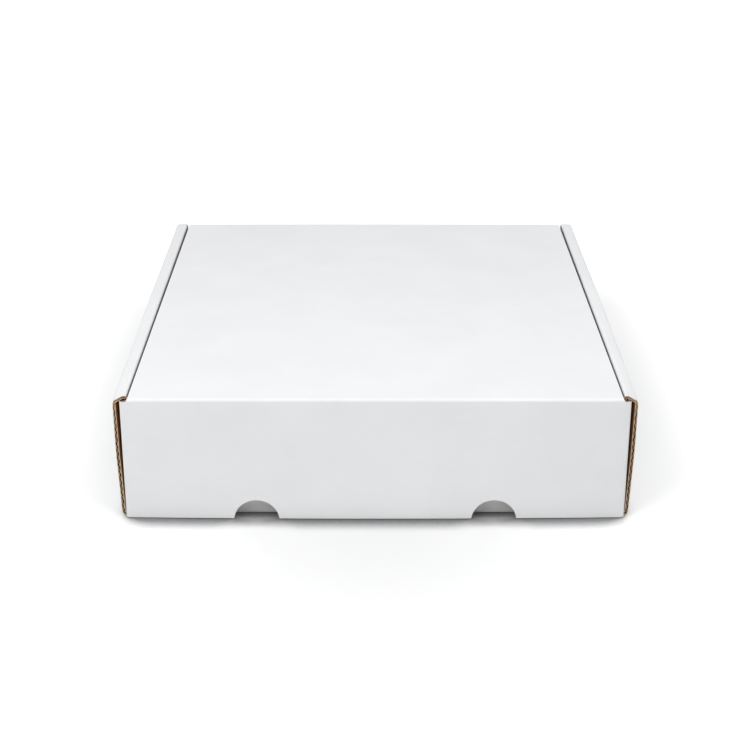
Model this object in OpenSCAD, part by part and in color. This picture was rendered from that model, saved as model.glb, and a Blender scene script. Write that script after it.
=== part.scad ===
// Corrugated mailer box, shut, standing on its base with the front facing -Y.
// It is folded from one sheet of board. Each fold is drawn as a strip of constant
// thickness that bends round true creases, and the sheet is parted only at the two
// creases that work as hinges: lid to back wall, and lid to front flap.

/* [Inside] */
// Clear width between the rolled side walls, at their tops
inside_w = 203; // [150:1:320]
// Clear depth between the front and back walls
inside_d = 229; // [150:1:320]
// Clear height from the base to the underside of the lid
inside_h = 52.3; // [48:0.1:90]

/* [Board] */
// Thickness of the corrugated board
board_t = 1.5; // [1.2:0.1:1.8]
// Outside radius of an ordinary crease
fold_r = 2.25; // [2:0.05:3]
// Gap between layers of board that lie together without touching
layer_gap = 0.2; // [0.15:0.05:0.3]
// Distance from one flute of the board to the next
flute_pitch = 3.25; // [2.8:0.05:3.6]
// Thickness of each flat liner of the board
liner_t = 0.25; // [0.2:0.05:0.3]
// Depth of the open flutes drawn in the raw ends of the outer side panels
flute_depth = 1.5; // [1:0.5:4]

/* [Side walls] */
// How far each outer side panel leans out at its top
wall_lean = 1.1; // [0:0.1:1.5]
// Room between a lid ear and the foot of the outer side panel
ear_side_gap = 0.8; // [0.3:0.1:1]
// Drop from the lid's top face to the outer corner of the rolled hem
hem_drop = 2.4; // [2:0.1:3.5]
// Slope of the rolled hem, rising towards the lid
hem_slope = 28; // [20:1:32]
// Outside radius of the tight inner curl of the hem
curl_r = 1.85; // [1.85:0.05:2.2]
// Inward lean of the inner side panel below the curl
roll_lean = 2.7; // [2.4:0.1:4]
// How far the side walls stand in front of the front wall
side_proud = 1.9; // [1:0.1:3]
// Length of each locking tab at the foot of an inner side panel
lock_l = 36; // [20:1:50]
// Distance from the middle of the box to each locking tab
lock_y = 60; // [40:1:70]
// Room round a locking tab in its slot in the base
lock_gap = 0.35; // [0.3:0.05:0.6]

/* [Corner tabs] */
// Length of the front wall's corner tabs
front_tab_l = 45; // [30:1:60]
// Height of the top of the front wall's corner tabs
front_tab_h = 20; // [12:1:22]
// Length of the back wall's corner tabs
back_tab_l = 40; // [25:1:60]
// Distance from the back tabs' top edge down from the lid's top face
back_tab_drop = 5.5; // [5:0.5:12]
// Taper cut across the free end of a corner tab
tab_taper = 5; // [2:0.5:8]

/* [Lid and front flap] */
// Gap between the lid and the hem on each side
lid_gap = 0.4; // [0.3:0.1:0.8]
// Gap between the lid and the top of the front wall
rest_gap = 0.3; // [0.2:0.1:0.6]
// Space between the front flap and the front wall
flap_gap = 4.3; // [3:0.1:6]
// Height of the flap's lower edge above the ground
flap_lift = 0.4; // [0.2:0.1:1]
// Width of the cut along the middle of a hinge crease
hinge_cut = 0.3; // [0.2:0.05:0.5]
// Distance of a hinge axis outside the board's outer face
hinge_out = 0.25; // [0.2:0.05:0.4]
// Length of each ear, from the flap's face to its free end
ear_l = 42; // [25:1:50]
// Drop from the lid's top face to an ear's top edge, under the hem
ear_drop = 3.2; // [3.2:0.1:5]
// Drop from the lid's top face to the shoulder beside the crease
shoulder_drop = 1.2; // [1.2:0.1:2.5]
// Height of the ear's sweep above the floor of its slot
ear_floor_gap = 0.9; // [0.6:0.1:3]
// Radius of the thumb notches
notch_r = 9.5; // [6:0.5:14]
// Distance of a notch's centre below the flap's lower edge
notch_low = 0.9; // [0:0.1:3]
// Distance between the centres of the two thumb notches
notch_pitch = 99.5; // [60:0.5:140]
// Radius of the flap's lower corners
flap_corner_r = 1.5; // [1:0.1:3]

/* [Hidden] */

arc_steps = 8;
arc_fn = 96;
reach = 20;
white = [0.96, 0.96, 0.97];
box_h = inside_h + 2 * board_t;

// Shape of an open flute, and the fluted paper left between one and the next
web_t = 0.22;
flute_base = 0.42 * flute_pitch;
flute_crest = 0.06 * flute_pitch;

// Across the box, from the middle outwards
roll_x = inside_w / 2;
lid_half = roll_x - lid_gap;
ear_in_x = roll_x + board_t + layer_gap;
flap_half = ear_in_x + board_t;
foot_x = flap_half + ear_side_gap + board_t;
hem_x = foot_x + wall_lean;
base_half = foot_x - fold_r;
front_half = ear_in_x - layer_gap;
back_half = flap_half;

// Along the box, with its outside depth centred on the origin
box_d = inside_d + 3 * board_t + flap_gap;
front_y = -box_d / 2;
back_y = box_d / 2;
front_wall_y = front_y + board_t + flap_gap;
side_front_y = front_wall_y - side_proud;
side_back_y = back_y - layer_gap;
roll_front_y = front_wall_y + fold_r;
roll_back_y = back_y - fold_r;

// Heights of the front wall, the back tabs, and the folded corners of a side wall
front_wall_h = box_h - board_t - rest_gap;
back_tab_h = box_h - back_tab_drop;
hem_z = box_h - hem_drop;
curl_z = hem_z + (hem_x - roll_x) * tan(hem_slope);
roll_foot_z = board_t + layer_gap;
roll_end_z = hem_z - board_t;

// Hinge axes, on the bisector of each top crease
hinge_in = fold_r - (fold_r + hinge_out) * cos(45);
hinge_z = box_h - hinge_in;
front_hinge_y = front_y + hinge_in;
ear_r = hinge_z - board_t - ear_floor_gap;

// Folded sheet seen edge on. The outer face runs through corners p, and the board lies
// on the left of that line. Corner i is rounded to radius r[i] on the outer face.
function unit(v) = v / norm(v);
function left(v) = [-v[1], v[0]];
function face_dir(p, i) = unit(p[i + 1] - p[i]);
function turn_at(p, i) =
    let (a = face_dir(p, i - 1), b = face_dir(p, i))
    atan2(a[0] * b[1] - a[1] * b[0], a * b);
function bend_centre(p, r, i) =
    let (a = face_dir(p, i - 1))
    p[i] - r[i] * tan(turn_at(p, i) / 2) * a + r[i] * left(a);
function arc(c, r, start, turn) =
    [for (k = [0 : arc_steps]) c + r * [cos(start + turn * k / arc_steps), sin(start + turn * k / arc_steps)]];
function bend(p, r, i, depth) =
    let (out = -left(face_dir(p, i - 1)))
    arc(bend_centre(p, r, i), r[i] - depth, atan2(out[1], out[0]), turn_at(p, i));
function face_line(p, r, depth) =
    let (last = len(p) - 1)
    concat(
        [p[0] + depth * left(face_dir(p, 0))],
        [for (i = [1 : last - 1]) each bend(p, r, i, depth)],
        [p[last] + depth * left(face_dir(p, last - 1))]
    );
function backwards(list) = [for (i = [len(list) - 1 : -1 : 0]) list[i]];

module sheet(p, r) {
    polygon(concat(face_line(p, r, 0), backwards(face_line(p, r, board_t))));
}

// Extrusions across the box, along it and upwards
module across(half) {
    translate([-half, 0, 0])
        rotate([90, 0, 90])
            linear_extrude(height = 2 * half)
                children();
}

module along(y0, y1) {
    translate([0, y1, 0])
        rotate([90, 0, 0])
            linear_extrude(height = y1 - y0)
                children();
}

module upwards(z0, z1) {
    translate([0, 0, z0])
        linear_extrude(height = z1 - z0)
            children();
}

module both_sides() {
    children();
    mirror([1, 0, 0])
        children();
}

// Section of a side wall: edge of the base, outer panel, hem, curl and inner panel
module side_section() {
    curl = [roll_x, curl_z];
    foot = [roll_face_x(roll_foot_z), roll_foot_z];
    sheet(
        [[base_half - board_t, 0], [foot_x, 0], [hem_x, hem_z], curl, foot],
        [0, fold_r, fold_r, curl_r, 0]
    );
}

// Inner panel's face towards the inside of the box, at height z
function roll_face_x(z) = roll_x - (curl_z - z) * tan(roll_lean);

// Inner panel's foot carried down into the base as a locking tab, grown for its slot
module lock_section(grow) {
    low_z = layer_gap - grow;
    high_z = roll_foot_z + board_t;
    thick = board_t / cos(roll_lean);
    polygon([
        [roll_face_x(high_z) - grow, high_z],
        [roll_face_x(low_z) - grow, low_z],
        [roll_face_x(low_z) + thick + grow, low_z],
        [roll_face_x(high_z) + thick + grow, high_z]
    ]);
}

// Clears the inner panel from the wall at each end of the box
module roll_end(y0, y1) {
    translate([roll_x - reach, y0, roll_foot_z - layer_gap / 2])
        cube([reach + board_t + layer_gap, y1 - y0, roll_end_z - roll_foot_z]);
}

// One open flute in a raw end, s up the outer side panel, on its outer or inner liner
module open_flute(s, outer) {
    foot = [foot_x, 0];
    up = unit([hem_x, hem_z] - foot);
    near = outer ? liner_t : board_t - liner_t;
    far = outer ? board_t - liner_t - web_t : liner_t + web_t;
    polygon([
        foot + (s - flute_base) * up + near * left(up),
        foot + (s + flute_base) * up + near * left(up),
        foot + (s + flute_crest) * up + far * left(up),
        foot + (s - flute_crest) * up + far * left(up)
    ]);
}

// All the open flutes of the outer side panel, clear of its two creases
module open_flutes(y0, y1) {
    first = fold_r + flute_pitch / 2;
    last = hem_z - fold_r;
    along(y0, y1)
        for (k = [0 : floor((last - first) / (flute_pitch / 2))])
            open_flute(first + k * flute_pitch / 2, k % 2 == 0);
}

module side_wall() {
    difference() {
        along(side_front_y, side_back_y)
            side_section();
        open_flutes(side_front_y - 1, side_front_y + flute_depth);
        open_flutes(side_back_y - flute_depth, side_back_y + 1);
        roll_end(side_front_y - 1, roll_front_y);
        roll_end(roll_back_y, side_back_y + 1);
    }
    for (y = [-lock_y, lock_y])
        along(y - lock_l / 2, y + lock_l / 2)
            lock_section(0);
}

module base_panel() {
    difference() {
        upwards(0, board_t)
            translate([-base_half, front_wall_y + fold_r])
                square([2 * base_half, back_y - front_wall_y - 2 * fold_r]);
        both_sides()
            for (y = [-lock_y, lock_y])
                along(y - lock_l / 2 - lock_gap, y + lock_l / 2 + lock_gap)
                    lock_section(lock_gap);
    }
}

// Wall with a folded tab at each end, seen from above, facing -Y
module tabbed_plan(half, wall_y, tab_l) {
    tip_y = wall_y + tab_l;
    sheet(
        [[-half, tip_y], [-half, wall_y], [half, wall_y], [half, tip_y]],
        [0, fold_r, fold_r, 0]
    );
}

// Side view of a wall with corner tabs, as a mask right across the box
module tab_outline(wall_y, tab_l, z0, z1) {
    tip_y = wall_y + tab_l;
    polygon([
        [wall_y - 1, z0],
        [tip_y - tab_taper, z0],
        [tip_y, z0 + tab_taper],
        [tip_y, z1 - tab_taper],
        [tip_y - tab_taper, z1],
        [wall_y - 1, z1]
    ]);
}

module tabbed_wall(half, wall_y, tab_l, z0, z1) {
    intersection() {
        upwards(z0, z1)
            tabbed_plan(half, wall_y, tab_l);
        across(half + 1)
            tab_outline(wall_y, tab_l, z0, z1);
    }
}

module front_wall() {
    fold_half = front_half - fold_r;
    edge_half = front_half - layer_gap;
    relief_z = front_tab_h + layer_gap;
    corner = 3 * board_t;
    across(fold_half)
        sheet(
            [[front_wall_y, fold_r + 1], [front_wall_y, 0], [front_wall_y + fold_r + 1, 0]],
            [0, fold_r, 0]
        );
    tabbed_wall(front_half, front_wall_y, front_tab_l, fold_r, front_tab_h);
    along(front_wall_y, front_wall_y + board_t)
        polygon([
            [-fold_half, fold_r],
            [fold_half, fold_r],
            [fold_half, relief_z],
            [edge_half, relief_z],
            [edge_half, front_wall_h - corner],
            [edge_half - corner, front_wall_h],
            [corner - edge_half, front_wall_h],
            [-edge_half, front_wall_h - corner],
            [-edge_half, relief_z],
            [-fold_half, relief_z]
        ]);
}

// Everything between the two hinge creases, seen from the side
module lid_region(inset) {
    side = inset * sqrt(2);
    polygon([
        [front_y - reach + side, box_h + reach],
        [back_y + reach - side, box_h + reach],
        [back_y - fold_r - side, box_h - fold_r],
        [front_y + fold_r + side, box_h - fold_r]
    ]);
}

module back_wall() {
    across(back_half - fold_r)
        sheet(
            [[back_y - fold_r - 1, 0], [back_y, 0], [back_y, fold_r + 1]],
            [0, fold_r, 0]
        );
    mirror([0, 1, 0])
        tabbed_wall(back_half, -back_y, back_tab_l, fold_r, back_tab_h);
    across(lid_half)
        difference() {
            sheet(
                [[back_y, back_tab_h - 1], [back_y, box_h], [back_y - reach, box_h]],
                [0, fold_r, 0]
            );
            lid_region(-hinge_cut / 2);
        }
}

module tray() {
    color(white) {
        base_panel();
        both_sides()
            side_wall();
        front_wall();
        back_wall();
    }
}

module lid() {
    low_z = box_h - fold_r - 1;
    color(white)
        across(lid_half)
            intersection() {
                sheet(
                    [[back_y, low_z], [back_y, box_h], [front_y, box_h], [front_y, low_z]],
                    [0, fold_r, fold_r, 0]
                );
                lid_region(hinge_cut / 2);
            }
}

// Side view of an ear: a quarter sweep about the hinge axis, with its top edge
// dropping from the shoulder to run under the hem
module ear_outline() {
    shoulder_z = box_h - shoulder_drop;
    top_z = box_h - ear_drop;
    tip_y = front_y + ear_l;
    intersection() {
        polygon([
            [front_y - 1, 0],
            [tip_y, 0],
            [tip_y, top_z],
            [side_front_y, top_z],
            [front_y + board_t, shoulder_z],
            [front_y - 1, shoulder_z]
        ]);
        union() {
            translate([front_hinge_y, hinge_z])
                circle(r = ear_r, $fn = arc_fn);
            translate([front_y - 1, 0])
                square([1 + fold_r, box_h]);
        }
    }
}

// Front view of the flap, with its two lower corners rounded
module flap_face() {
    corner_x = flap_half - flap_corner_r;
    corner_z = flap_lift + flap_corner_r;
    polygon(concat(
        arc([-corner_x, corner_z], flap_corner_r, 180, 90),
        arc([corner_x, corner_z], flap_corner_r, 270, 90),
        [[flap_half, box_h], [-flap_half, box_h]]
    ));
}

module front_flap() {
    color(white) {
        difference() {
            intersection() {
                upwards(flap_lift, box_h - shoulder_drop)
                    tabbed_plan(flap_half, front_y, ear_l);
                across(flap_half + 1)
                    ear_outline();
                along(front_y - 1, front_y + ear_l + 1)
                    flap_face();
            }
            translate([-lid_half, front_y - 1, box_h - fold_r])
                cube([2 * lid_half, fold_r + 1, fold_r]);
            both_sides()
                translate([notch_pitch / 2, front_y - 1, flap_lift - notch_low])
                    rotate([-90, 0, 0])
                        cylinder(r = notch_r, h = board_t + 2, $fn = arc_fn);
        }
        across(lid_half)
            difference() {
                sheet(
                    [[front_y + reach, box_h], [front_y, box_h], [front_y, box_h - fold_r - 1]],
                    [0, fold_r, 0]
                );
                lid_region(-hinge_cut / 2);
            }
    }
}

tray();
lid();
front_flap();
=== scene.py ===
"""Corrugated mailer box, shut, on a pale studio floor, seen from above its front.

The box is folded from one sheet of E flute board: a liner that is white outside, a fluted paper and a kraft
liner. Sizes are in metres. The front faces -Y, +X is to the right, and the ground is z = 0.
"""

import math

import bmesh
import bpy
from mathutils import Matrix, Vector


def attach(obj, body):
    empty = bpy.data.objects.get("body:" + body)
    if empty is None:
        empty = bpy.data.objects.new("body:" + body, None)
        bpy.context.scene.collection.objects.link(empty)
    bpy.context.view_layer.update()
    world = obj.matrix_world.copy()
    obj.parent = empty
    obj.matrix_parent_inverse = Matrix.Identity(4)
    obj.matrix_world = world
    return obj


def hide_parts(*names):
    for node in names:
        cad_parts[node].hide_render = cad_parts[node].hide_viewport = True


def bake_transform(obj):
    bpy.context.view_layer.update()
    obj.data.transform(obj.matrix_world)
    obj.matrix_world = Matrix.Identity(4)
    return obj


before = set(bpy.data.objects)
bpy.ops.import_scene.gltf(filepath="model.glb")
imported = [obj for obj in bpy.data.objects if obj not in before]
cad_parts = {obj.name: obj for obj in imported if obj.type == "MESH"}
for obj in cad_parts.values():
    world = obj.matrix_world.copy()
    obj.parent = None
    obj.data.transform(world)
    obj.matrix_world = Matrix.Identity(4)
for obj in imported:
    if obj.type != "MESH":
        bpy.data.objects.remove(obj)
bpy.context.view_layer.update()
MM = 0.001


# Camera: a 75 mm lens about 0.6 m in front of the box and 0.3 m above the floor. It looks 23 degrees down on
# the box, and is turned and tilted by less than a fifth of a degree.

camera_data = bpy.data.cameras.new("camera")
camera_data.lens = 74.70
camera_data.sensor_width = 36.0
camera = bpy.data.objects.new("camera", camera_data)
camera.location = (-2.016 * MM, -698.693 * MM, 312.527 * MM)
camera.rotation_euler = (math.radians(90.0 - 23.021), math.radians(-0.082), math.radians(-0.142))
bpy.context.scene.collection.objects.link(camera)
bpy.context.scene.camera = camera


# Studio: a white sweep that runs out of sight, under a wide lamp overhead, one at each side and a white room.
# Camera, gloss and glass rays see the room as plain white; the floor keeps the shadow of the box.


def node_adder(tree):
    """Returns a function that adds one node, with its settings, to a node tree."""

    def add(kind, **settings):
        node = tree.nodes.new(kind)
        for key, value in settings.items():
            setattr(node, key, value)
        return node

    return add


def shader_tree(data):
    """Empties a material's or world's node tree and returns it with a function that adds a node to it."""
    data.use_nodes = True
    data.node_tree.nodes.clear()
    return data.node_tree, node_adder(data.node_tree)


def seen_directly(tree, add):
    """1 for camera, glossy and transmission rays, 0 for the rays that light the object."""
    path = add("ShaderNodeLightPath")
    camera_or_gloss = add("ShaderNodeMath", operation="MAXIMUM")
    either = add("ShaderNodeMath", operation="MAXIMUM")
    tree.links.new(path.outputs["Is Camera Ray"], camera_or_gloss.inputs[0])
    tree.links.new(path.outputs["Is Glossy Ray"], camera_or_gloss.inputs[1])
    tree.links.new(camera_or_gloss.outputs[0], either.inputs[0])
    tree.links.new(path.outputs["Is Transmission Ray"], either.inputs[1])
    return either.outputs[0]


world = bpy.data.worlds.new("white_room")
bpy.context.scene.world = world
tree, add = shader_tree(world)
room_light = add("ShaderNodeBackground")
room_light.inputs["Color"].default_value = (0.985, 0.992, 1.0, 1.0)
sky = add("ShaderNodeTexCoord")
height = add("ShaderNodeSeparateXYZ")
tree.links.new(sky.outputs["Generated"], height.inputs[0])
room_level = add("ShaderNodeMapRange")
room_level.inputs["To Min"].default_value = 0.0
room_level.inputs["To Max"].default_value = 0.57
tree.links.new(height.outputs["Z"], room_level.inputs["Value"])
tree.links.new(room_level.outputs[0], room_light.inputs["Strength"])
room_seen = add("ShaderNodeBackground")
room_seen.inputs["Color"].default_value = (1.0, 1.0, 1.0, 1.0)
room_seen.inputs["Strength"].default_value = 1.0
which = add("ShaderNodeMixShader")
out = add("ShaderNodeOutputWorld")
tree.links.new(seen_directly(tree, add), which.inputs[0])
tree.links.new(room_light.outputs[0], which.inputs[1])
tree.links.new(room_seen.outputs[0], which.inputs[2])
tree.links.new(which.outputs[0], out.inputs["Surface"])

floor_white = bpy.data.materials.new("studio_floor")
tree, add = shader_tree(floor_white)
# Contact shadow: the floor darkens where the box stands close behind it
behind = add("ShaderNodeCombineXYZ")
behind.inputs["Y"].default_value = 0.88
behind.inputs["Z"].default_value = 0.47
SHADOW_REACH = 15.0 * MM
closeness = add("ShaderNodeAmbientOcclusion", samples=16)
closeness.inputs["Distance"].default_value = SHADOW_REACH
tree.links.new(behind.outputs[0], closeness.inputs["Normal"])
covered = add("ShaderNodeMapRange")
covered.inputs["From Min"].default_value = 0.38
covered.inputs["From Max"].default_value = 0.75
covered.inputs["To Min"].default_value = 1.0
covered.inputs["To Max"].default_value = 0.0
tree.links.new(closeness.outputs["AO"], covered.inputs["Value"])
deepened = add("ShaderNodeMath", operation="POWER")
deepened.inputs[1].default_value = 1.8
tree.links.new(covered.outputs[0], deepened.inputs[0])
shadow = add("ShaderNodeMapRange")
shadow.inputs["To Min"].default_value = 1.0
shadow.inputs["To Max"].default_value = 0.2
tree.links.new(deepened.outputs[0], shadow.inputs["Value"])
# To the rays that light the box, that shadow is weaker and the floor paler, so that its foot still gets light
direct = seen_directly(tree, add)
shadow_share = add("ShaderNodeMapRange")
shadow_share.inputs["To Min"].default_value = 0.45
tree.links.new(direct, shadow_share.inputs["Value"])
shaded = add("ShaderNodeMix", data_type="FLOAT")
shaded.inputs["A"].default_value = 1.0
tree.links.new(shadow_share.outputs[0], shaded.inputs["Factor"])
tree.links.new(shadow.outputs[0], shaded.inputs["B"])
paint_level = add("ShaderNodeMapRange")
paint_level.inputs["To Min"].default_value = 0.8
paint_level.inputs["To Max"].default_value = 0.74
tree.links.new(direct, paint_level.inputs["Value"])
paint_tone = add("ShaderNodeMath", operation="MULTIPLY")
tree.links.new(shaded.outputs[0], paint_tone.inputs[0])
tree.links.new(paint_level.outputs[0], paint_tone.inputs[1])
paint = add("ShaderNodeBsdfDiffuse")
tree.links.new(paint_tone.outputs[0], paint.inputs["Color"])
# Away from the box the sweep is lit up to plain white, sooner at its sides than in front
place = add("ShaderNodeTexCoord")
wider = add("ShaderNodeVectorMath", operation="MULTIPLY")
wider.inputs[1].default_value = (1.8, 1.0, 1.0)
tree.links.new(place.outputs["Object"], wider.inputs[0])
away = add("ShaderNodeVectorMath", operation="LENGTH")
tree.links.new(wider.outputs[0], away.inputs[0])
lift_share = add("ShaderNodeMapRange")
lift_share.inputs["From Min"].default_value = 0.13
lift_share.inputs["From Max"].default_value = 0.42
lift_share.inputs["To Min"].default_value = 0.05
lift_share.inputs["To Max"].default_value = 0.8
tree.links.new(away.outputs["Value"], lift_share.inputs["Value"])
lift_seen = add("ShaderNodeMath", operation="MULTIPLY")
tree.links.new(direct, lift_seen.inputs[0])
tree.links.new(lift_share.outputs[0], lift_seen.inputs[1])
lift_tone = add("ShaderNodeMath", operation="MULTIPLY")
tree.links.new(lift_seen.outputs[0], lift_tone.inputs[0])
tree.links.new(shadow.outputs[0], lift_tone.inputs[1])
lift = add("ShaderNodeEmission")
lift.inputs["Color"].default_value = (1.0, 1.0, 1.0, 1.0)
tree.links.new(lift_tone.outputs[0], lift.inputs["Strength"])
both = add("ShaderNodeAddShader")
out = add("ShaderNodeOutputMaterial")
tree.links.new(paint.outputs[0], both.inputs[0])
tree.links.new(lift.outputs[0], both.inputs[1])
tree.links.new(both.outputs[0], out.inputs["Surface"])

FLOOR_HALF = 6.0
FLOOR_BELOW = 0.05 * MM
floor_corners = [(x * FLOOR_HALF, y * FLOOR_HALF, 0.0) for x, y in ((-1, -1), (1, -1), (1, 1), (-1, 1))]
floor_mesh = bpy.data.meshes.new("floor")
floor_mesh.from_pydata(floor_corners, [], [(0, 1, 2, 3)])
floor_mesh.materials.append(floor_white)
floor = bpy.data.objects.new("floor", floor_mesh)
floor.location.z = -FLOOR_BELOW
bpy.context.scene.collection.objects.link(floor)


def soft_lamp(name, place, aim, wide, deep, watts):
    """A rectangular lamp at place, turned to shine at aim."""
    lamp = bpy.data.lights.new(name, "AREA")
    lamp.shape = "RECTANGLE"
    lamp.size = wide
    lamp.size_y = deep
    lamp.energy = watts
    holder = bpy.data.objects.new(name, lamp)
    holder.location = place
    holder.rotation_euler = (Vector(aim) - Vector(place)).to_track_quat("-Z", "Y").to_euler()
    bpy.context.scene.collection.objects.link(holder)
    return holder


LAMP_AIM = (0.0, -0.05, 0.0)
soft_lamp("overhead_softbox", (0.3, -0.25, 0.9), LAMP_AIM, 0.6, 0.5, 1.95)
soft_lamp("left_softbox", (-0.5, -0.56, 0.8), LAMP_AIM, 0.5, 0.5, 4.8)
soft_lamp("right_softbox", (0.5, -0.56, 0.8), LAMP_AIM, 0.5, 0.5, 1.9)


# Board: every panel below is a face line, seen edge on, with the board's thickness behind it and its flutes
# along the third direction. The tree makes the three papers of the board from that line: two flat liners with
# the fluted paper waving between them, so that each raw edge shows real flutes.

BOARD = 1.5 * MM
LINER = 0.24 * MM
MEDIUM = 0.23 * MM
PITCH = 3.25 * MM
FLUTE_STEPS = 12


def board_tree():
    """Geometry Nodes tree that turns a face line into fluted board."""
    tree = bpy.data.node_groups.new("fluted_board", "GeometryNodeTree")
    face = tree.interface
    face.new_socket("Geometry", in_out="INPUT", socket_type="NodeSocketGeometry")
    for name, kind in (
        ("Flute direction", "NodeSocketVector"),
        ("Pitch", "NodeSocketFloat"),
        ("Liner", "NodeSocketFloat"),
        ("Medium", "NodeSocketFloat"),
        ("Wave", "NodeSocketFloat"),
        ("Steps", "NodeSocketInt"),
        ("Outer face", "NodeSocketMaterial"),
        ("Inner face", "NodeSocketMaterial"),
        ("Raw paper", "NodeSocketMaterial"),
        ("Inside painted shade", "NodeSocketMaterial"),
        ("Medium edge", "NodeSocketMaterial"),
    ):
        face.new_socket(name, in_out="INPUT", socket_type=kind)
    face.new_socket("Geometry", in_out="OUTPUT", socket_type="NodeSocketGeometry")
    add = node_adder(tree)

    def put(value, socket):
        if isinstance(value, bpy.types.NodeSocket):
            tree.links.new(value, socket)
        else:
            socket.default_value = value

    def calc(operation, a, b=0.0, c=0.0):
        node = add("ShaderNodeMath", operation=operation)
        for value, socket in zip((a, b, c), node.inputs):
            put(value, socket)
        return node.outputs[0]

    def vector(operation, a, b=None, scale=None):
        node = add("ShaderNodeVectorMath", operation=operation)
        put(a, node.inputs[0])
        if b is not None:
            put(b, node.inputs[1])
        if scale is not None:
            put(scale, node.inputs["Scale"])
        return node.outputs[0]

    def named(name, kind="FLOAT"):
        node = add("GeometryNodeInputNamedAttribute", data_type=kind)
        node.inputs["Name"].default_value = name
        return node.outputs["Attribute"]

    def store(geometry, name, value, domain="POINT"):
        node = add("GeometryNodeStoreNamedAttribute", data_type="FLOAT", domain=domain)
        put(geometry, node.inputs["Geometry"])
        node.inputs["Name"].default_value = name
        put(value, node.inputs["Value"])
        return node.outputs["Geometry"]

    given = add("NodeGroupInput")
    line = add("GeometryNodeMeshToCurve")
    put(given.outputs["Geometry"], line.inputs["Mesh"])
    flute_line = add("GeometryNodeResampleCurve", mode="LENGTH")
    put(line.outputs["Curve"], flute_line.inputs["Curve"])
    put(calc("DIVIDE", given.outputs["Pitch"], given.outputs["Steps"]), flute_line.inputs["Length"])

    # Section of one paper: its two faces and its two cut ends
    square = add("GeometryNodeCurvePrimitiveQuadrilateral")
    index = add("GeometryNodeInputIndex").outputs[0]
    second = calc("GREATER_THAN", index, 1.5)
    between = calc("SUBTRACT", calc("GREATER_THAN", index, 0.5), calc("GREATER_THAN", index, 2.5))
    section = store(store(square.outputs["Curve"], "across", between), "end", second)

    def paper(curve, near, far, layer):
        """One paper of the board, between two depths below the face line."""
        swept = add("GeometryNodeCurveToMesh")
        put(curve, swept.inputs["Curve"])
        put(section, swept.inputs["Profile Curve"])
        swept.inputs["Fill Caps"].default_value = True
        across = named("across")
        near_share = calc("SUBTRACT", 1.0, across)
        depth = calc("ADD", calc("MULTIPLY", near, near_share), calc("MULTIPLY", far, across))
        along = calc(
            "ADD",
            calc("MULTIPLY", named("first"), calc("SUBTRACT", 1.0, named("end"))),
            calc("MULTIPLY", named("last"), named("end")),
        )
        inward = vector("NORMALIZE", named("inward", "FLOAT_VECTOR"))
        place = vector("ADD", named("face", "FLOAT_VECTOR"), vector("SCALE", inward, scale=depth))
        place = vector("ADD", place, vector("SCALE", given.outputs["Flute direction"], scale=along))
        moved = add("GeometryNodeSetPosition")
        put(swept.outputs["Mesh"], moved.inputs["Geometry"])
        put(place, moved.inputs["Position"])
        return store(moved.outputs["Geometry"], "layer", layer, "FACE")

    thick = named("thick")
    liner = given.outputs["Liner"]
    medium = given.outputs["Medium"]
    inner_near = calc("SUBTRACT", thick, liner)

    # Fluted paper: a wave that fills the room between the liners, a little crushed and leaning here and there
    crush_rate, crush_share, lean_share = 130.0, 0.16, 0.5
    clear = calc("SUBTRACT", thick, calc("MULTIPLY", liner, 2.0))
    room = calc("MULTIPLY", calc("SUBTRACT", clear, medium), 0.5)
    run = named("run")
    crush = add("ShaderNodeTexNoise", noise_dimensions="1D")
    put(calc("MULTIPLY", run, crush_rate), crush.inputs["W"])
    crush.inputs["Scale"].default_value = 1.0
    crush.inputs["Detail"].default_value = 1.0
    crushed = calc("SUBTRACT", 1.0, calc("MULTIPLY", crush.outputs[0], crush_share))
    turns = calc("DIVIDE", run, given.outputs["Pitch"])
    lean = calc("MULTIPLY", calc("SUBTRACT", crush.outputs[0], 0.5), lean_share)
    wave = calc("SINE", calc("MULTIPLY", calc("ADD", turns, lean), 2.0 * math.pi))
    height = calc("MULTIPLY", calc("MULTIPLY", wave, room), calc("MULTIPLY", crushed, given.outputs["Wave"]))
    middle = calc("ADD", calc("MULTIPLY", thick, 0.5), height)
    half = calc("MULTIPLY", medium, 0.5)

    joined = add("GeometryNodeJoinGeometry")
    papers = (
        paper(line.outputs["Curve"], 0.0, liner, 0.0),
        paper(line.outputs["Curve"], inner_near, thick, 2.0),
        paper(flute_line.outputs["Curve"], calc("SUBTRACT", middle, half), calc("ADD", middle, half), 1.0),
    )
    for geometry in papers:
        tree.links.new(geometry, joined.inputs["Geometry"])
    whole = add("GeometryNodeRealizeInstances")
    put(joined.outputs["Geometry"], whole.inputs["Geometry"])

    # The outermost faces carry the white or the kraft surface, and cut edges are raw paper. The faces inside
    # the flutes get a near-black paper, which is painted shade. "across" is 0 on a paper's near face, 1 on
    # its far face and in between on its cut edges
    def coat(geometry, material, selection=None):
        node = add("GeometryNodeSetMaterial")
        put(geometry, node.inputs["Geometry"])
        put(material, node.inputs["Material"])
        if selection is not None:
            put(selection, node.inputs["Selection"])
        return node.outputs["Geometry"]

    layer = named("layer")
    across = named("across")
    outer = calc("MULTIPLY", calc("LESS_THAN", layer, 0.5), calc("LESS_THAN", across, 0.25))
    inner = calc("MULTIPLY", calc("GREATER_THAN", layer, 1.5), calc("GREATER_THAN", across, 0.75))
    inside = calc("GREATER_THAN", calc("ABSOLUTE", calc("SUBTRACT", across, 0.5)), 0.25)
    medium_edge = calc("COMPARE", layer, 1.0, 0.5)
    result = coat(whole.outputs["Geometry"], given.outputs["Raw paper"])
    result = coat(result, given.outputs["Medium edge"], medium_edge)
    result = coat(result, given.outputs["Inside painted shade"], inside)
    result = coat(result, given.outputs["Inner face"], inner)
    result = coat(result, given.outputs["Outer face"], outer)
    out = add("NodeGroupOutput")
    put(result, out.inputs["Geometry"])
    return tree


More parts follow.
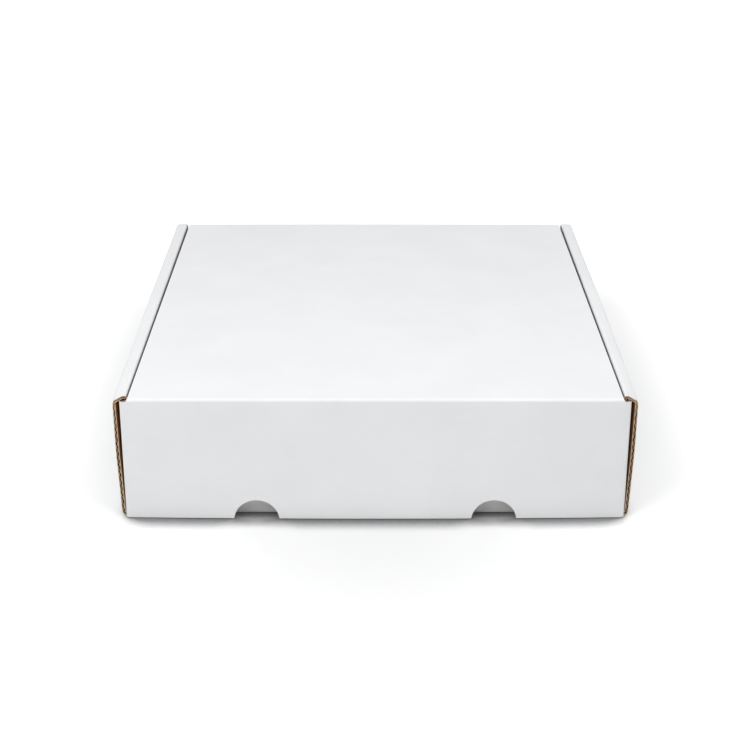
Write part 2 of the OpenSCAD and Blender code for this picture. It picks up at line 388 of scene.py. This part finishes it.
fluted_board = board_tree()


def grain_and_gap_shade_group():
    """Shader group for paper: its tone of clouds and fibres, its grain, and how open each spot lies, which
    sets where painted shade darkens narrow gaps.
    """
    group = bpy.data.node_groups.new("paper_grain_and_gap_shade", "ShaderNodeTree")
    face = group.interface
    for name, value in (
        ("Cloud size", 40.0),
        ("Fibre size", 900.0),
        ("Fibre stretch", 6.0),
        ("Cloud share", 0.5),
        ("Gap depth", 8.0 * MM),
    ):
        face.new_socket(name, in_out="INPUT", socket_type="NodeSocketFloat").default_value = value
    for name in ("Tone", "Grain", "Open"):
        face.new_socket(name, in_out="OUTPUT", socket_type="NodeSocketFloat")
    add = node_adder(group)
    given = add("NodeGroupInput")
    out = add("NodeGroupOutput")
    place = add("ShaderNodeTexCoord")
    cloud = add("ShaderNodeTexNoise")
    cloud.inputs["Detail"].default_value = 3.0
    cloud.inputs["Roughness"].default_value = 0.55
    group.links.new(place.outputs["Object"], cloud.inputs["Vector"])
    group.links.new(given.outputs["Cloud size"], cloud.inputs["Scale"])
    stretch = add("ShaderNodeCombineXYZ")
    stretch.inputs["Y"].default_value = 1.0
    stretch.inputs["Z"].default_value = 1.0
    group.links.new(given.outputs["Fibre stretch"], stretch.inputs["X"])
    pulled = add("ShaderNodeVectorMath", operation="MULTIPLY")
    group.links.new(place.outputs["Object"], pulled.inputs[0])
    group.links.new(stretch.outputs[0], pulled.inputs[1])
    fibre = add("ShaderNodeTexNoise")
    fibre.inputs["Detail"].default_value = 4.0
    fibre.inputs["Roughness"].default_value = 0.65
    group.links.new(pulled.outputs[0], fibre.inputs["Vector"])
    group.links.new(given.outputs["Fibre size"], fibre.inputs["Scale"])
    both = add("ShaderNodeMix", data_type="FLOAT")
    group.links.new(given.outputs["Cloud share"], both.inputs["Factor"])
    group.links.new(fibre.outputs[0], both.inputs["A"])
    group.links.new(cloud.outputs[0], both.inputs["B"])
    group.links.new(both.outputs[0], out.inputs["Tone"])
    group.links.new(fibre.outputs[0], out.inputs["Grain"])
    # How open each spot lies: the mask for the painted shade in narrow gaps
    room = add("ShaderNodeAmbientOcclusion", samples=6)
    group.links.new(given.outputs["Gap depth"], room.inputs["Distance"])
    open_share = add("ShaderNodeMapRange", interpolation_type="SMOOTHSTEP")
    open_share.inputs["From Min"].default_value = 0.28
    open_share.inputs["From Max"].default_value = 0.92
    group.links.new(room.outputs["AO"], open_share.inputs["Value"])
    group.links.new(open_share.outputs[0], out.inputs["Open"])
    return group


paper_grain_and_gap_shade = grain_and_gap_shade_group()


def paper_material(name, dark, light, low, high, rough, gloss, grain, bump, bump_depth, painted_gap_shade=None):
    """Paper that goes from dark to light as its tone goes from low to high; in narrow gaps its colour is
    multiplied by a painted shade colour.
    """
    material = bpy.data.materials.new(name)
    tree, add = shader_tree(material)
    mottle = add("ShaderNodeGroup")
    mottle.node_tree = paper_grain_and_gap_shade
    for key, value in grain.items():
        mottle.inputs[key].default_value = value
    tone = add("ShaderNodeMapRange")
    tone.inputs["From Min"].default_value = low
    tone.inputs["From Max"].default_value = high
    tree.links.new(mottle.outputs["Tone"], tone.inputs["Value"])
    colour = add("ShaderNodeMix", data_type="RGBA")
    colour.inputs["A"].default_value = (*dark, 1.0)
    colour.inputs["B"].default_value = (*light, 1.0)
    tree.links.new(tone.outputs[0], colour.inputs["Factor"])
    surface = colour.outputs["Result"]
    # Painted shade: where the spot is closed in, the colour is darkened towards the given shade colour
    if painted_gap_shade is not None:
        shaded = add("ShaderNodeMix", data_type="RGBA", blend_type="MULTIPLY")
        shaded.inputs["B"].default_value = (*painted_gap_shade, 1.0)
        closed = add("ShaderNodeMath", operation="SUBTRACT")
        closed.inputs[0].default_value = 1.0
        tree.links.new(mottle.outputs["Open"], closed.inputs[1])
        tree.links.new(closed.outputs[0], shaded.inputs["Factor"])
        tree.links.new(surface, shaded.inputs["A"])
        surface = shaded.outputs["Result"]
    raised = add("ShaderNodeBump")
    raised.inputs["Strength"].default_value = bump
    raised.inputs["Distance"].default_value = bump_depth
    tree.links.new(mottle.outputs["Grain"], raised.inputs["Height"])
    skin = add("ShaderNodeBsdfPrincipled")
    skin.inputs["Roughness"].default_value = rough
    skin.inputs["Specular IOR Level"].default_value = gloss
    tree.links.new(surface, skin.inputs["Base Color"])
    tree.links.new(raised.outputs[0], skin.inputs["Normal"])
    out = add("ShaderNodeOutputMaterial")
    tree.links.new(skin.outputs[0], out.inputs["Surface"])
    return material


white = dict(
    dark=(0.865, 0.87, 0.885),
    light=(0.90, 0.905, 0.92),
    low=0.35,
    high=0.65,
    rough=0.5,
    gloss=0.45,
    grain={"Cloud size": 32.0, "Fibre size": 1400.0, "Fibre stretch": 0.35, "Cloud share": 0.7},
    bump=0.12,
    bump_depth=0.05 * MM,
)
kraft = dict(
    dark=(0.53, 0.305, 0.128),
    light=(0.73, 0.455, 0.215),
    low=0.3,
    high=0.7,
    rough=0.8,
    gloss=0.25,
    grain={"Cloud size": 90.0, "Fibre size": 1100.0, "Fibre stretch": 0.25, "Cloud share": 0.35},
    bump=0.3,
    bump_depth=0.06 * MM,
)
white_face = paper_material("white_liner", **white)
kraft_face = paper_material("kraft_liner", **kraft)
fluffy = {"Fibre stretch": 1.0, "Cloud share": 0.5}
cut_edge = dict(
    low=0.3,
    high=0.7,
    rough=0.9,
    gloss=0.15,
    grain={"Cloud size": 500.0, "Fibre size": 2500.0, **fluffy},
    bump=0.4,
    bump_depth=0.08 * MM,
)
raw_paper = paper_material("raw_paper", dark=(0.74, 0.54, 0.35), light=(0.98, 0.80, 0.57), **cut_edge)
medium_paper = paper_material("medium_edge", dark=(0.54, 0.37, 0.225), light=(0.88, 0.67, 0.46), **cut_edge)
# Painted shade: the paper inside the flutes is near black, for the shade deep in the voids; the real paper
# there is the medium and liners
painted_shade_inside_paper = paper_material(
    "flute_inside_painted_shade",
    dark=(0.045, 0.016, 0.006),
    light=(0.11, 0.042, 0.016),
    low=0.3,
    high=0.7,
    rough=0.9,
    gloss=0.1,
    grain={"Cloud size": 300.0, "Fibre size": 1500.0, **fluffy},
    bump=0.3,
    bump_depth=0.06 * MM,
)


def face_line(corners, radii, marks=None):
    """Samples a folded sheet's outer face: (position, inward direction, distance run, stretch) along it.

    The board lies on the left of the line through corners, and corner i is rounded to radii[i]. marks[i]
    lists extra samples on the straight part that starts at corner i, as distances from that corner. The
    stretch is i on that straight part, and i + 0.5 on the bend that ends it.
    """
    points = [Vector(c) for c in corners]
    heading = [(b - a).normalized() for a, b in zip(points, points[1:])]
    samples = []
    run = 0.0
    start = points[0]
    for i, ahead in enumerate(heading):
        left = Vector((-ahead.y, ahead.x))
        end = points[i + 1]
        radius = radii[i + 1]
        turn = 0.0
        if i + 1 < len(heading) and radius > 0.0:
            turn = -ahead.angle_signed(heading[i + 1])
            end = end - ahead * radius * math.tan(abs(turn) / 2.0)
        stops = [0.0, (end - start).length]
        for mark in (marks or {}).get(i, ()):
            there = (points[i] + ahead * mark - start).dot(ahead)
            if 0.0 < there < stops[1]:
                stops.append(there)
        for stop in sorted(stops):
            samples.append((start + ahead * stop, left.copy(), run + stop, i))
        run += (end - start).length
        if turn:
            centre = end + left * radius
            steps = max(4, round(math.degrees(abs(turn)) / 10.0))
            for k in range(1, steps):
                angle = turn * k / steps
                inward = Vector(
                    (
                        left.x * math.cos(angle) - left.y * math.sin(angle),
                        left.x * math.sin(angle) + left.y * math.cos(angle),
                    )
                )
                samples.append((centre - inward * radius, inward, run + radius * abs(angle), i + 0.5))
            run += radius * abs(turn)
            start = points[i + 1] + heading[i + 1] * radius * math.tan(abs(turn) / 2.0)
        else:
            start = points[i + 1]
    return samples


def flute_panels(name, lines, lift, direction, wave=1.0, faces=(white_face, kraft_face)):
    """Makes one plain mesh of fluted board.

    lines is a list of (samples, extent, thickness), where extent and thickness are functions of a sample's
    place, distance run and stretch. lift turns the two coordinates of a line into a point of the box.
    """
    verts, edges = [], []
    facts = {"face": [], "inward": [], "run": [], "thick": [], "first": [], "last": []}
    for samples, extent, thickness in lines:
        begin = len(verts)
        for place, inward, run, stretch in samples:
            verts.append(lift(place))
            facts["face"].append(lift(place))
            facts["inward"].append(lift(inward))
            facts["run"].append(run)
            facts["thick"].append(thickness(place, run, stretch))
            first, last = extent(place, run, stretch)
            facts["first"].append(first)
            facts["last"].append(last)
        edges += [(i, i + 1) for i in range(begin, len(verts) - 1)]
    mesh = bpy.data.meshes.new(name)
    mesh.from_pydata(verts, edges, [])
    for key, values in facts.items():
        if key in ("face", "inward"):
            layer = mesh.attributes.new(key, "FLOAT_VECTOR", "POINT")
            layer.data.foreach_set("vector", [c for value in values for c in value])
        else:
            layer = mesh.attributes.new(key, "FLOAT", "POINT")
            layer.data.foreach_set("value", values)
    line = bpy.data.objects.new(name + "_line", mesh)
    bpy.context.scene.collection.objects.link(line)
    nodes = line.modifiers.new("fluted_board", "NODES")
    nodes.node_group = fluted_board
    sockets = {s.name: s.identifier for s in fluted_board.interface.items_tree if s.in_out == "INPUT"}
    nodes[sockets["Flute direction"]] = direction
    nodes[sockets["Pitch"]] = PITCH
    nodes[sockets["Liner"]] = LINER
    nodes[sockets["Medium"]] = MEDIUM
    nodes[sockets["Wave"]] = wave
    nodes[sockets["Steps"]] = FLUTE_STEPS
    nodes[sockets["Outer face"]], nodes[sockets["Inner face"]] = faces
    nodes[sockets["Raw paper"]] = raw_paper
    nodes[sockets["Inside painted shade"]] = painted_shade_inside_paper
    nodes[sockets["Medium edge"]] = medium_paper
    bpy.context.view_layer.update()
    ready = line.evaluated_get(bpy.context.evaluated_depsgraph_get())
    solid = bpy.data.meshes.new_from_object(ready)
    solid.name = name
    bpy.data.objects.remove(line)
    for key in list(facts) + ["across", "end", "layer"]:
        if key in solid.attributes:
            solid.attributes.remove(solid.attributes[key])
    return solid


SHARP_FROM = math.radians(38.0)


def finished(name, meshes):
    """Joins meshes into one object with outward faces and crisp cut edges."""
    shell = bmesh.new()
    materials = []
    for mesh in meshes:
        before = len(shell.faces)
        shell.from_mesh(mesh)
        shell.faces.ensure_lookup_table()
        for i in range(before, len(shell.faces)):
            material = mesh.materials[shell.faces[i].material_index]
            if material not in materials:
                materials.append(material)
            shell.faces[i].material_index = materials.index(material)
    bmesh.ops.recalc_face_normals(shell, faces=shell.faces)
    mesh = bpy.data.meshes.new(name)
    shell.to_mesh(mesh)
    shell.free()
    for material in materials:
        mesh.materials.append(material)
    mesh.shade_smooth()
    mesh.set_sharp_from_angle(angle=SHARP_FROM)
    piece = bpy.data.objects.new(name, mesh)
    bpy.context.scene.collection.objects.link(piece)
    return piece


# Base, side walls, rolled hems and inner panels: one strip across the sheet, with the flutes along the box.
# Each side panel is creased over twice at its top and comes down again inside, where two locking tabs at its
# end stand in slots of the base.

# A fold's outer radius, and the distance from its corner at which the flat panels begin
FOLD = 2.25 * MM
BEND_END = FOLD + 1.0 * MM
# Two samples a hair apart let a panel's end step from one place to another, and a speck settles a tie
HAIR = 0.01 * MM
SPECK = 0.1 * HAIR
# What the box holds, its height, and the gaps between its layers
INSIDE_W = 203.0 * MM
INSIDE_D = 229.0 * MM
BOX_H = 55.3 * MM
LAYER_GAP = 0.2 * MM
FLAP_GAP = 4.3 * MM
EAR_SIDE_GAP = 0.8 * MM
# Across the box, from the inside out: inner panel, ear, outer panel at its foot, and the hem's outer edge
ROLL_X = INSIDE_W / 2.0
EAR_X = ROLL_X + BOARD + LAYER_GAP
FLAP_HALF = EAR_X + BOARD
FOOT_X = FLAP_HALF + EAR_SIDE_GAP + BOARD
BASE_HALF = FOOT_X - FOLD
HEM_X = FOOT_X + 1.07 * MM
# Hem: its outer edge, the slope up to the curl, and the inner panel that leans below the curl
HEM_Z = BOX_H - 2.4 * MM
HEM_SLOPE = math.radians(27.5)
CURL = 1.4 * MM
CURL_X = ROLL_X + 0.5 * MM
CURL_Z = HEM_Z + (HEM_X - CURL_X) * math.tan(HEM_SLOPE)
ROLL_LEAN = math.radians(2.7)
ROLL_FOOT_Z = BOARD + LAYER_GAP
ROLL_END = BOX_H - 1.9 * MM
# The outer panel bellies out to the hem's width at this height, in a wide bend
BELLY_Z = 31.0 * MM
BELLY_R = 300.0 * MM
# Along the box
BACK_Y = (INSIDE_D + 3.0 * BOARD + FLAP_GAP) / 2.0
FRONT_Y = -BACK_Y
WALL_Y = FRONT_Y + BOARD + FLAP_GAP
SIDE_FRONT = WALL_Y - 1.9 * MM
SIDE_BACK = BACK_Y - LAYER_GAP
BASE_FRONT = WALL_Y + BEND_END
BASE_BACK = BACK_Y - BEND_END
# Locking tabs and their slots
LOCK_HALF = 18.0 * MM
LOCK_Y = 60.0 * MM
LOCK_GAP = 0.35 * MM
LOCK_END_Z = LAYER_GAP


def roll_face_x(z):
    """Inner panel's inside face at height z, as it would run straight up to the hem."""
    return ROLL_X - (CURL_Z - z) * math.tan(ROLL_LEAN)


# Stretches of the strip's line, counted from the end of its left inner panel
LEFT_INNER, BASE, RIGHT_INNER = 0, 4, 8
roll_foot = roll_face_x(ROLL_FOOT_Z)
slot_near = roll_face_x(0.0) - LOCK_GAP
slot_far = roll_foot + BOARD + LOCK_GAP
foot_marks = [FOOT_X - BASE_HALF + BOARD, FOOT_X - BASE_HALF + BOARD + HAIR]
foot_marks += [FOOT_X - slot_far, FOOT_X - slot_near]
side_line = face_line(
    [
        (-roll_foot, ROLL_FOOT_Z),
        (-CURL_X, CURL_Z),
        (-HEM_X, HEM_Z),
        (-HEM_X, BELLY_Z),
        (-FOOT_X, 0.0),
        (FOOT_X, 0.0),
        (HEM_X, BELLY_Z),
        (HEM_X, HEM_Z),
        (CURL_X, CURL_Z),
        (roll_foot, ROLL_FOOT_Z),
    ],
    [0.0, CURL, FOLD, BELLY_R, FOLD, FOLD, BELLY_R, FOLD, CURL, 0.0],
    marks={
        LEFT_INNER: [ROLL_END - ROLL_FOOT_Z, ROLL_END - ROLL_FOOT_Z + HAIR],
        BASE: foot_marks + [2.0 * FOOT_X - mark for mark in foot_marks],
        RIGHT_INNER: [CURL_Z - ROLL_END - HAIR, CURL_Z - ROLL_END],
    },
)


def side_extent(place, run, stretch):
    """Front and back ends: the base stops at its creases, and the inner panels clear the corner folds."""
    if stretch in (LEFT_INNER, RIGHT_INNER) and place.y < ROLL_END + HAIR / 2.0:
        return (WALL_Y + FOLD, BACK_Y - FOLD)
    if stretch == BASE and abs(place.x) < BASE_HALF - BOARD - HAIR / 2.0:
        return (BASE_FRONT, BASE_BACK)
    return (SIDE_FRONT, SIDE_BACK)


def side_thick(place, run, stretch):
    """The board is crushed thinner in the hem, from a little below it."""
    hem = 1.15 * MM
    full_at = HEM_Z - 4.0 * MM
    crushed_at = HEM_Z - 1.0 * MM
    share = min(1.0, max(0.0, (place.y - full_at) / (crushed_at - full_at)))
    return BOARD + (hem - BOARD) * share


def fixed(first, last):
    """An extent that is the same along the whole line."""
    return lambda place, run, stretch: (first, last)


def even(place, run, stretch):
    """Board of full thickness everywhere."""
    return BOARD


def section_xz(place):
    """A point of a line that is drawn across the box, seen from the front."""
    return (place[0], 0.0, place[1])


def first_past(x):
    """Index of the base's first sample at x or past it."""
    return next(i for i, sample in enumerate(side_line) if sample[3] == BASE and sample[0].x > x - SPECK)


# The base is parted at the slots' edges, so that each slot is left open between its ends
cuts = [first_past(x) for x in (-slot_far, -slot_near, slot_near, slot_far)]
LEFT_SLOTS, RIGHT_SLOTS = 1, 3
SLOT_HALF = LOCK_HALF + LOCK_GAP
slot_ends = (-LOCK_Y - SLOT_HALF, -LOCK_Y + SLOT_HALF, LOCK_Y - SLOT_HALF, LOCK_Y + SLOT_HALF)
strip_parts = []
for k, (begin, end) in enumerate(zip([0] + cuts, cuts + [len(side_line) - 1])):
    part = side_line[begin : end + 1]
    if k in (LEFT_SLOTS, RIGHT_SLOTS):
        for first, last in ((BASE_FRONT, slot_ends[0]), slot_ends[1:3], (slot_ends[3], BASE_BACK)):
            strip_parts.append((part, fixed(first, last), side_thick))
    else:
        strip_parts.append((part, side_extent, side_thick))
tab_end = roll_face_x(LOCK_END_Z)
for ends in (
    [(-tab_end, LOCK_END_Z), (-roll_foot, ROLL_FOOT_Z)],
    [(roll_foot, ROLL_FOOT_Z), (tab_end, LOCK_END_Z)],
):
    for y in (-LOCK_Y, LOCK_Y):
        strip_parts.append((face_line(ends, [0.0, 0.0]), fixed(y - LOCK_HALF, y + LOCK_HALF), even))
# The rolled sides' faces get painted shade in narrow gaps: near black on the white face, dark brown on the
# kraft face
rolled_faces = (
    paper_material("white_liner_rolled_painted_shade", **white, painted_gap_shade=(0.05, 0.05, 0.05)),
    paper_material("kraft_liner_rolled_painted_shade", **kraft, painted_gap_shade=(0.6, 0.4, 0.26)),
)
side_mesh = flute_panels("side_strip", strip_parts, section_xz, (0.0, 1.0, 0.0), faces=rolled_faces)


def level_hem(mesh):
    """Lifts the hem's outer edge, which is pressed down at its front end and nearly level behind it."""
    near_share, near_reach = 0.4, 4.0 * MM
    far_share, far_from, far_over = 0.45, 30.0 * MM, 80.0 * MM
    work = bmesh.new()
    work.from_mesh(mesh)
    # Cross cuts give the long faces points between their ends, which can then be lifted
    middles_above, ends_above = 0.6 * BOX_H, 0.3 * BOX_H
    for behind in (4.0, 12.0, 30.0, 55.0, 80.0, 110.0):
        high_faces = [f for f in work.faces if f.calc_center_median().z > middles_above]
        high_edges = [e for e in work.edges if min(v.co.z for v in e.verts) > ends_above]
        high_verts = [v for v in work.verts if v.co.z > ends_above]
        bmesh.ops.bisect_plane(
            work,
            geom=high_faces + high_edges + high_verts,
            plane_co=(0.0, SIDE_FRONT + behind * MM, 0.0),
            plane_no=(0.0, 1.0, 0.0),
        )
    peak = CURL_X + CURL
    for vertex in work.verts:
        x, y, z = vertex.co
        behind = y - SIDE_FRONT
        far = min(1.0, max(0.0, (behind - far_from) / far_over))
        near_lift = near_share * (1.0 - math.exp(-behind / near_reach))
        far_lift = far_share * far * far * (3.0 - 2.0 * far)
        height = min(1.0, max(0.0, (z - BELLY_Z) / (HEM_Z - BELLY_Z)))
        vertex.co.z = z + max(0.0, abs(x) - peak) * math.tan(HEM_SLOPE) * (near_lift + far_lift) * height
    work.to_mesh(mesh)
    work.free()


level_hem(side_mesh)
strip = finished("base_and_rolled_sides", [side_mesh])
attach(strip, "tray")
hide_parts("tray")


# Front wall with its two corner tabs: flutes upright, creased up from the base, its tabs folded back beside
# the inner panels.

FRONT_HALF = EAR_X - LAYER_GAP
FRONT_TOP = BOX_H - BOARD - 0.3 * MM
TAB_TOP = 20.0 * MM
TAB_TAPER = 5.0 * MM
FRONT_TAB = 45.0 * MM
SHOULDER_CUT = 3.0 * BOARD
# Stretches of a wall's line, and of the front flap's, counted from the tip of its left end
LEFT_END, MIDDLE, RIGHT_END = 0, 1, 2


def plan_xy(place):
    """A point of a line that is drawn flat, seen from above."""
    return (place[0], place[1], 0.0)


def wall_line(half, wall_y, tab, end_marks):
    """A wall with a tab at each end, seen from above and facing -Y, with end_marks sampled from each end."""
    tip = wall_y + tab
    return face_line(
        [(-half, tip), (-half, wall_y), (half, wall_y), (half, tip)],
        [0.0, FOLD, FOLD, 0.0],
        marks={
            LEFT_END: [TAB_TAPER],
            MIDDLE: end_marks + [2.0 * half - mark for mark in end_marks],
            RIGHT_END: [tab - TAB_TAPER],
        },
    )


def front_top(place):
    """The front wall's upper edge, with its corners cut."""
    from_edge = FRONT_HALF - LAYER_GAP - abs(place.x)
    return FRONT_TOP - max(0.0, SHOULDER_CUT - from_edge)


def front_extent(place, run, stretch):
    """Bottom and top edges of the front wall and its tabs."""
    if stretch != MIDDLE:
        cut = max(0.0, place.y - (WALL_Y + FRONT_TAB - TAB_TAPER))
        return (FOLD + cut, TAB_TOP - cut)
    if abs(place.x) > FRONT_HALF - FOLD - HAIR / 2.0:
        return (FOLD, TAB_TOP)
    return (BEND_END, front_top(place))


def shoulder_extent(place, run, stretch):
    """Edges of the wall's end above the fold of its tab."""
    return (TAB_TOP + LAYER_GAP, front_top(place))


front_line = wall_line(FRONT_HALF, WALL_Y, FRONT_TAB, [FOLD + HAIR, SHOULDER_CUT + LAYER_GAP])
wall_parts = [(front_line, front_extent, even)]
shoulder_in, shoulder_out = FRONT_HALF - FOLD, FRONT_HALF - LAYER_GAP
for ends in ((-shoulder_out, -shoulder_in), (shoulder_in, shoulder_out)):
    wall_parts.append((face_line([(x, WALL_Y) for x in ends], [0.0, 0.0]), shoulder_extent, even))
front_mesh = flute_panels("front_wall", wall_parts, plan_xy, (0.0, 0.0, 1.0))


def section_yz(place):
    """A point of a line that is drawn along the box, seen from its side."""
    return (0.0, place[0], place[1])


def crease_line(corner, before, after, radius=FOLD):
    """A crease seen edge on: its bend, with flat board on each side up to BEND_END from the corner."""
    near = Vector(corner) + Vector(before) * BEND_END
    far = Vector(corner) + Vector(after) * BEND_END
    return face_line([near, corner, far], [0.0, radius, 0.0])


def crease_mesh(name, line, half_at):
    """The crushed board of a crease, across the flutes. half_at gives half its length at each place."""
    crushed_by, crushed_over = 0.45 * MM, FOLD + 0.5 * MM
    line_end = line[-1][2]

    def extent(place, run, stretch):
        return (-half_at(place), half_at(place))

    def thick(place, run, stretch):
        share = min(run, line_end - run) / crushed_over
        return BOARD - crushed_by * math.sin(min(1.0, share) * math.pi / 2.0) ** 2

    return flute_panels(name, [(line, extent, thick)], section_yz, (1.0, 0.0, 0.0), wave=0.0)


FRONT_FOOT_R = 1.1 * MM
foot_bend = crease_line((WALL_Y, 0.0), (0.0, 1.0), (1.0, 0.0), FRONT_FOOT_R)
front_foot = crease_mesh("front_foot", foot_bend, lambda place: FRONT_HALF - FOLD)
front_wall = finished("front_wall_and_tabs", [front_mesh, front_foot])
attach(front_wall, "tray")
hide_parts("tray")


# Back wall with its two corner tabs: flutes upright, creased up from the base like the front one. Its tabs
# lie under the hems, and the lid hangs on its top edge.

BACK_TAB = 40.0 * MM
BACK_TAB_TOP = BOX_H - 5.5 * MM
LID_HALF = ROLL_X - 0.4 * MM


def back_extent(place, run, stretch):
    """Bottom and top edges of the back wall and its tabs."""
    if stretch != MIDDLE:
        cut = max(0.0, place.y - (-BACK_Y + BACK_TAB - TAB_TAPER))
        return (FOLD + cut, BACK_TAB_TOP - cut)
    if abs(place.x) > LID_HALF:
        return (BEND_END, BACK_TAB_TOP)
    return (BEND_END, BOX_H - BEND_END)


def turned_plan(place):
    """A plan point turned half round, for a wall that faces +Y."""
    return (-place[0], -place[1], 0.0)


back_line = wall_line(FLAP_HALF, -BACK_Y, BACK_TAB, [FLAP_HALF - LID_HALF - HAIR, FLAP_HALF - LID_HALF])
back_mesh = flute_panels("back_wall", [(back_line, back_extent, even)], turned_plan, (0.0, 0.0, 1.0))
back_bend = crease_line((BACK_Y, 0.0), (-1.0, 0.0), (0.0, 1.0))
back_foot = crease_mesh("back_foot", back_bend, lambda place: FLAP_HALF - FOLD)
back_wall = finished("back_wall_and_tabs", [back_mesh, back_foot])
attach(back_wall, "tray")
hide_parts("tray")


# Lid: one flat panel with its flutes along the box, a little narrower at its back. It stops 1 mm short of the
# bend of each of its two creases.

LID_FRONT_HALF = LID_HALF + 0.3 * MM
LID_BACK_HALF = LID_HALF - 0.25 * MM
lid_line = face_line([(LID_HALF, BOX_H), (-LID_HALF, BOX_H)], [0.0, 0.0])
lid_extent = fixed(FRONT_Y + BEND_END, BACK_Y - BEND_END)
lid_mesh = flute_panels("lid", [(lid_line, lid_extent, even)], section_xz, (0.0, 1.0, 0.0))
for vertex in lid_mesh.vertices:
    near = 0.5 - vertex.co.y / (2.0 * BACK_Y)
    vertex.co.x *= (LID_BACK_HALF + (LID_FRONT_HALF - LID_BACK_HALF) * near) / LID_HALF
lid = finished("lid_panel", [lid_mesh])
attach(lid, "lid")
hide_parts("lid")


# Front flap: it hangs from the lid, outside the front wall, with its flutes upright. An ear at each end is
# folded back into the side wall, and two thumb notches are cut in its lower edge.

EAR = 42.0 * MM
EAR_FOLD = 1.3 * MM
FLAP_LIFT = 0.4 * MM
SHOULDER_Z = BOX_H - 1.2 * MM
EAR_TOP = BOX_H - 3.2 * MM
CREASE_HALF = 102.2 * MM
# Thumb notches: circles whose centres lie a little below the lower edge
NOTCH_R = 9.5 * MM
NOTCH_LOW = 0.9 * MM
NOTCH_X = 99.5 * MM / 2.0
NOTCH_HALF = math.sqrt(NOTCH_R**2 - NOTCH_LOW**2)
# The ears' lower edge is an arc about the axis that the flap turns on, in the middle of its crease
HINGE_IN = FOLD - (FOLD + 0.25 * MM) * math.cos(math.radians(45.0))
HINGE_Z = BOX_H - HINGE_IN
HINGE_Y = FRONT_Y + HINGE_IN
EAR_R = HINGE_Z - BOARD - 0.9 * MM
# The lower edge bows out, and the flap widens towards it by three parts in a thousand
BOW = 1.4 * MM
SPREAD = 0.003


def bow_flap(mesh):
    """Leans the lower corners and ears back and outwards, so that the middle of the lower edge bows out."""
    for vertex in mesh.vertices:
        x, y, z = vertex.co
        lower = max(0.0, 1.0 - z / (BOX_H - BEND_END))
        vertex.co.x = x * (1.0 + SPREAD * lower)
        vertex.co.y = y + BOW * min(1.0, (x / FLAP_HALF) ** 2) * lower


# Samples along the lower edge: even ones for its bow, closer ones round each notch and along the ears
BOW_STEP = 5.0 * MM
EAR_STEP = 1.0 * MM
NOTCH_STEPS = 24
flap_marks = [FLAP_HALF + side * x for side in (-1, 1) for x in (CREASE_HALF, CREASE_HALF + HAIR)]
flap_marks += [k * BOW_STEP for k in range(1, int(2.0 * FLAP_HALF / BOW_STEP) + 1)]
for side in (-1, 1):
    for k in range(NOTCH_STEPS + 1):
        across = -NOTCH_HALF * math.cos(math.pi * k / NOTCH_STEPS)
        flap_marks.append(FLAP_HALF + side * NOTCH_X + across)
ear_marks = [k * EAR_STEP for k in range(1, int((EAR - 2.0 * EAR_FOLD) / EAR_STEP) + 1)]
flap_line = face_line(
    [(-FLAP_HALF, FRONT_Y + EAR), (-FLAP_HALF, FRONT_Y), (FLAP_HALF, FRONT_Y), (FLAP_HALF, FRONT_Y + EAR)],
    [0.0, EAR_FOLD, EAR_FOLD, 0.0],
    marks={
        LEFT_END: ear_marks + [FRONT_Y + EAR - SIDE_FRONT],
        MIDDLE: flap_marks,
        RIGHT_END: [EAR - mark for mark in ear_marks] + [SIDE_FRONT - FRONT_Y],
    },
)


def flap_extent(place, run, stretch):
    """Lower and upper edges of the flap and its ears."""
    if stretch != MIDDLE:
        depth = place.y - FRONT_Y
        slope = (SHOULDER_Z - EAR_TOP) / (SIDE_FRONT - FRONT_Y - BOARD)
        top = min(SHOULDER_Z, max(EAR_TOP, SHOULDER_Z - (depth - BOARD) * slope))
        reach = place.y - HINGE_Y
        low = FLAP_LIFT
        if depth > EAR_FOLD + SPECK:
            low = HINGE_Z - math.sqrt(max(0.0, EAR_R**2 - reach**2))
        return (low, top)
    low = FLAP_LIFT
    from_notch = abs(abs(place.x) - NOTCH_X)
    if from_notch < NOTCH_R:
        low = max(low, FLAP_LIFT - NOTCH_LOW + math.sqrt(NOTCH_R**2 - from_notch**2))
    top = SHOULDER_Z
    if abs(place.x) < CREASE_HALF + HAIR / 2.0:
        top = BOX_H - BEND_END
    return (low, top)


def flap_thick(place, run, stretch):
    """The board is crushed where each ear folds back."""
    crushed_by, crushed_over = 0.35 * MM, 2.0 * MM
    from_fold = max(0.0, FLAP_HALF - EAR_FOLD - abs(place.x)) + max(0.0, place.y - FRONT_Y - EAR_FOLD)
    return BOARD - crushed_by * max(0.0, 1.0 - from_fold / crushed_over)


flap_mesh = flute_panels("flap", [(flap_line, flap_extent, flap_thick)], plan_xy, (0.0, 0.0, 1.0))
bow_flap(flap_mesh)
flap = finished("front_flap_and_ears", [flap_mesh])
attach(flap, "front_flap")
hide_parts("front_flap")


# Working creases: the crushed strip from the lid to the flap, and from the back wall to the lid. Each is one
# piece, bent round the line of its joint.


def flare(place):
    """The crease widens from the lid's edge down to the flap's shoulders."""
    share = min(1.0, (BOX_H - place[1]) / (BOX_H - SHOULDER_Z))
    return LID_FRONT_HALF + (CREASE_HALF - LID_FRONT_HALF) * share


FLAP_CREASE_R = 1.2 * MM
flap_bend = crease_line((FRONT_Y, BOX_H), (1.0, 0.0), (0.0, -1.0), FLAP_CREASE_R)
flap_crease = finished("flap_crease", [crease_mesh("flap_crease", flap_bend, flare)])
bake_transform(flap_crease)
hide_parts("front_flap", "lid")

lid_bend = crease_line((BACK_Y, BOX_H), (0.0, -1.0), (-1.0, 0.0))
lid_crease = finished("lid_crease", [crease_mesh("lid_crease", lid_bend, lambda place: LID_BACK_HALF)])
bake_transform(lid_crease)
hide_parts("tray", "lid")


bpy.context.scene.view_settings.view_transform = "Standard"
